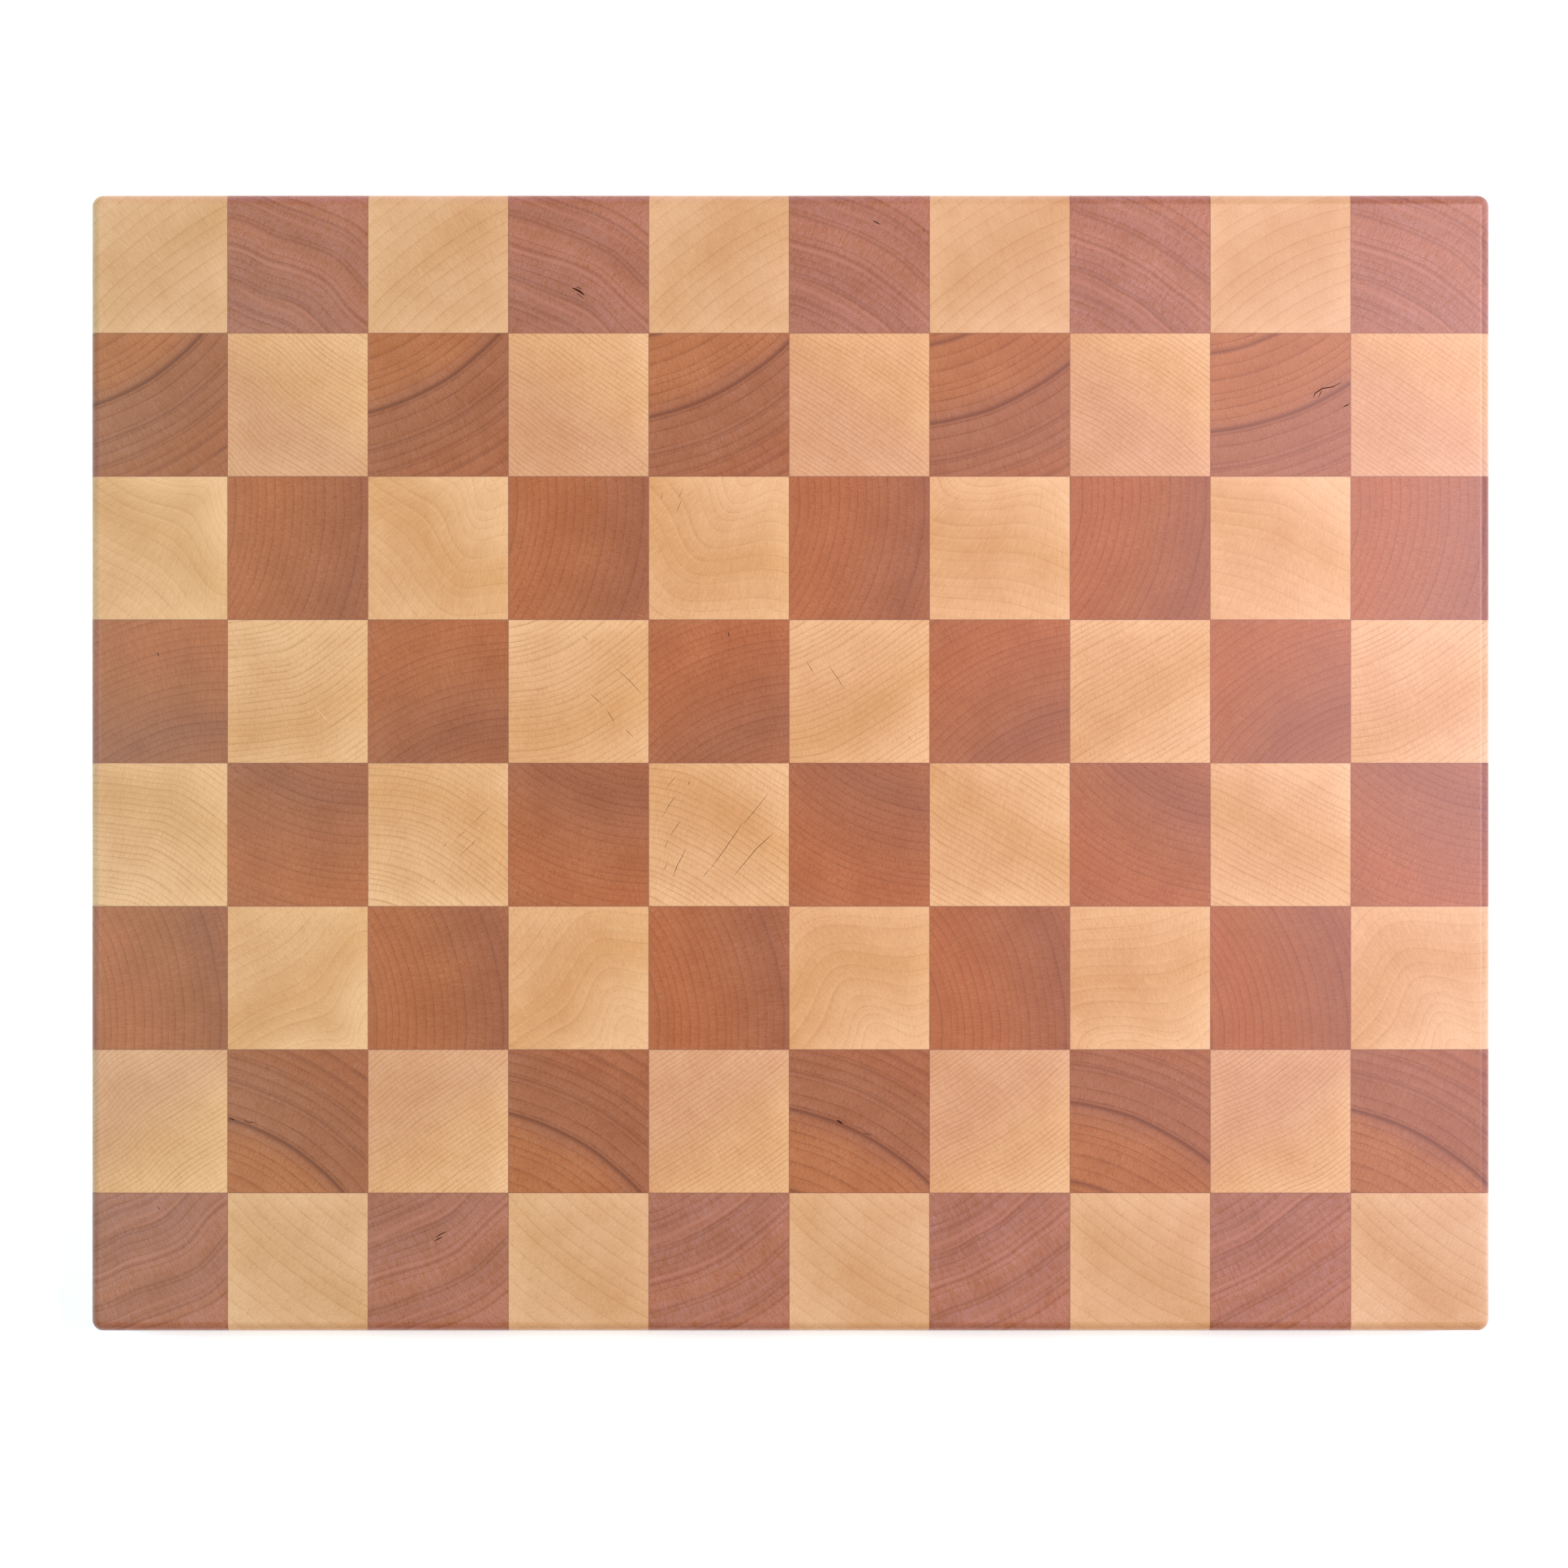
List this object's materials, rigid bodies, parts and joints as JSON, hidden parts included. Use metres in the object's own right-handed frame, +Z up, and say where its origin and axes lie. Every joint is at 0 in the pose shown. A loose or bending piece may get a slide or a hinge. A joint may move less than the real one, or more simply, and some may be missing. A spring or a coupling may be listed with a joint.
{
  "type": "end-grain cutting board",
  "caption": "Rectangular end-grain cutting board, a checkerboard of square maple and cherry blocks glued together, with rounded corners and eased edges.",
  "frame": {"origin": "centre of the underside", "axes": "+Z up through the thickness, along the grain of every block; +X along the long side, across the ten slices; +Y along the short side, towards the back row"},
  "size_m": [0.434, 0.3528, 0.0381],
  "materials": {
    "maple": "oiled end grain, matt, pale honey with thin brown growth rings",
    "cherry": "oiled end grain, matt, reddish brown with dark growth rings",
    "wood_glue": "dried water-resistant wood glue, a thin dark line between blocks"
  },
  "bodies": {
    "root": {"corner_block_r1_c10_cherry": "cherry", "corner_block_r1_c1_maple": "maple", "corner_block_r8_c10_maple": "maple", "corner_block_r8_c1_cherry": "cherry", "edge_block_r1_c2_cherry": "cherry", "edge_block_r1_c3_maple": "maple", "edge_block_r1_c4_cherry": "cherry", "edge_block_r1_c5_maple": "maple", "edge_block_r1_c6_cherry": "cherry", "edge_block_r1_c7_maple": "maple", "edge_block_r1_c8_cherry": "cherry", "edge_block_r1_c9_maple": "maple", "edge_block_r2_c10_maple": "maple", "edge_block_r2_c1_cherry": "cherry", "edge_block_r3_c10_cherry": "cherry", "edge_block_r3_c1_maple": "maple", "edge_block_r4_c10_maple": "maple", "edge_block_r4_c1_cherry": "cherry", "edge_block_r5_c10_cherry": "cherry", "edge_block_r5_c1_maple": "maple", "edge_block_r6_c10_maple": "maple", "edge_block_r6_c1_cherry": "cherry", "edge_block_r7_c10_cherry": "cherry", "edge_block_r7_c1_maple": "maple", "edge_block_r8_c2_maple": "maple", "edge_block_r8_c3_cherry": "cherry", "edge_block_r8_c4_maple": "maple", "edge_block_r8_c5_cherry": "cherry", "edge_block_r8_c6_maple": "maple", "edge_block_r8_c7_cherry": "cherry", "edge_block_r8_c8_maple": "maple", "edge_block_r8_c9_cherry": "cherry", "inner_blocks_row2_cherry": "cherry", "inner_blocks_row2_maple": "maple", "inner_blocks_row3_cherry": "cherry", "inner_blocks_row3_maple": "maple", "inner_blocks_row4_cherry": "cherry", "inner_blocks_row4_maple": "maple", "inner_blocks_row5_cherry": "cherry", "inner_blocks_row5_maple": "maple", "inner_blocks_row6_cherry": "cherry", "inner_blocks_row6_maple": "maple", "inner_blocks_row7_cherry": "cherry", "inner_blocks_row7_maple": "maple", "slice_glue_film_1": "wood_glue", "slice_glue_film_2": "wood_glue", "slice_glue_film_3": "wood_glue", "slice_glue_film_4": "wood_glue", "slice_glue_film_5": "wood_glue", "slice_glue_film_6": "wood_glue", "slice_glue_film_7": "wood_glue", "slice_glue_film_8": "wood_glue", "slice_glue_film_9": "wood_glue", "strip_glue_films_1": "wood_glue", "strip_glue_films_2": "wood_glue", "strip_glue_films_3": "wood_glue", "strip_glue_films_4": "wood_glue", "strip_glue_films_5": "wood_glue", "strip_glue_films_6": "wood_glue", "strip_glue_films_7": "wood_glue"}
  },
  "joints": []
}
